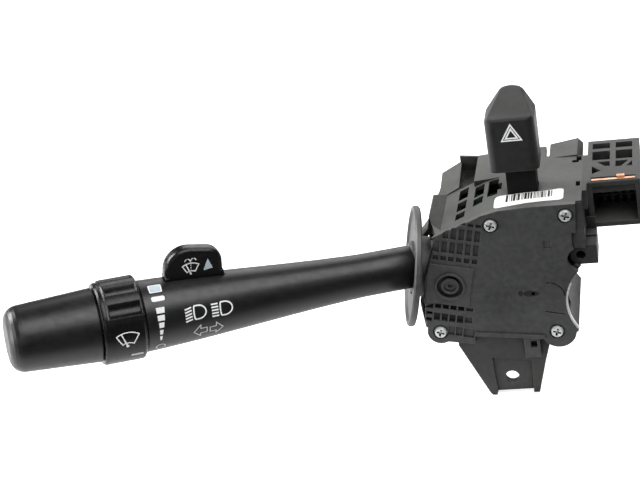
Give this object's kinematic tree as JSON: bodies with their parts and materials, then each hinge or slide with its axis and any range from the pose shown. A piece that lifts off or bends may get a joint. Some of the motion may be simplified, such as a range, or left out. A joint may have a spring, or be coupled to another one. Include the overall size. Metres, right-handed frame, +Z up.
{
  "type": "multifunction column switch",
  "caption": "Steering column switch: hazard push button on top, turn and headlamp lever with wiper band and washer paddle, plug socket, screw tab.",
  "frame": {"origin": "centre of the mounting hole, on the rear seating face of the tab", "axes": "+X to the connector side, +Y away from the driver, +Z up; the mounting screw leaves along -Y"},
  "size_m": [0.2384, 0.1269, 0.1242],
  "materials": {
    "housing": "black moulded nylon, lightly worn grey on its upper faces",
    "cover": "black moulded nylon, fine spark texture",
    "disc": "black moulded plastic, satin",
    "lever_skin": "black soft satin paint",
    "band": "black satin gloss plastic",
    "button": "black fine grained plastic",
    "inner_plastic": "black glass filled nylon",
    "acetal": "natural acetal, satin",
    "zinc": "bright zinc plate",
    "steel": "bright cold rolled steel",
    "dark_steel": "black oxide steel",
    "spring_wire": "drawn spring wire",
    "copper": "copper alloy strip",
    "board": "green circuit board",
    "wire_jacket": "red wire jackets"
  },
  "bodies": {
    "housing": {"main_housing": "housing", "front_cover": "cover", "cover_screws": "zinc", "rear_housing": "housing", "rear_screws": "zinc", "column_guard": "steel", "connector_block": "housing", "connector_blades": "copper", "bus_strip": "copper", "turn_pivot_pin": "dark_steel", "detent_track": "acetal", "turn_board": "board", "turn_fixed_contacts": "copper", "hazard_board": "board", "hazard_fixed_contacts": "copper", "hazard_spring": "spring_wire", "hazard_latch_wire": "spring_wire"},
    "carrier": {"turn_carrier": "acetal", "dip_pin": "steel", "detent_spring": "spring_wire", "turn_contact": "copper", "pawl_pin": "steel"},
    "plunger": {"detent_plunger": "acetal"},
    "pawl": {"cancel_pawl": "acetal"},
    "lever": {"lever_core": "inner_plastic", "shield_disc": "disc", "stalk_shell": "lever_skin", "band_sleeve": "inner_plastic", "end_cap": "lever_skin", "stalk_wires": "wire_jacket", "wiper_board": "board", "band_spring": "spring_wire", "paddle_pin": "steel", "paddle_spring": "spring_wire", "paddle_switch": "inner_plastic"},
    "band": {"wiper_band": "band", "wiper_rotor": "acetal"},
    "ball": {"band_ball": "steel"},
    "paddle": {"washer_paddle": "band"},
    "button": {"hazard_button": "button", "hazard_slider": "button", "hazard_bridge": "copper"}
  },
  "joints": [
    {"name": "turn_signal", "type": "hinge", "parent": "housing", "child": "carrier", "pos_m": [-0.0192, 0.016, 0.0447], "axis": [0, 1, 0], "range_deg": [-8, 8]},
    {"name": "detent_slide", "type": "slide", "parent": "carrier", "child": "plunger", "axis": [-1, 0, 0], "range_m": [0, 0.0008], "stiffness_N_per_m": 900, "springref_m": -0.002, "deforming": ["detent_spring"]},
    {"name": "cancel_pawl_swing", "type": "hinge", "parent": "carrier", "child": "pawl", "pos_m": [-0.0052, 0.003, 0.0447], "axis": [0, 1, 0], "range_deg": [-6, 6]},
    {"name": "headlamp_dip", "type": "hinge", "parent": "carrier", "child": "lever", "pos_m": [-0.02849, 0.01127, 0.04591], "axis": [0.1024, 0.0522, 0.9934], "range_deg": [-4, 5]},
    {"name": "wiper_band_turn", "type": "hinge", "parent": "lever", "child": "band", "pos_m": [-0.0192, 0.016, 0.0447], "axis": [-0.8851, -0.451, 0.1149], "range_deg": [-45, 60]},
    {"name": "band_ball_slide", "type": "slide", "parent": "lever", "child": "ball", "axis": [-0.1024, -0.0522, -0.9934], "range_m": [0, 0.0005], "stiffness_N_per_m": 500, "springref_m": -0.002, "deforming": ["band_spring"]},
    {"name": "washer_press", "type": "hinge", "parent": "lever", "child": "paddle", "pos_m": [-0.01946, 0.01879, 0.05364], "axis": [-0.8851, -0.451, 0.1149], "range_deg": [0, 7], "stiffness_Nm_per_rad": 0.4, "springref_deg": -6.88, "deforming": ["paddle_spring"]},
    {"name": "hazard_push", "type": "slide", "parent": "housing", "child": "button", "axis": [0, 0, -1], "range_m": [0, 0.004], "stiffness_N_per_m": 900, "springref_m": -0.003, "deforming": ["hazard_spring"]}
  ]
}
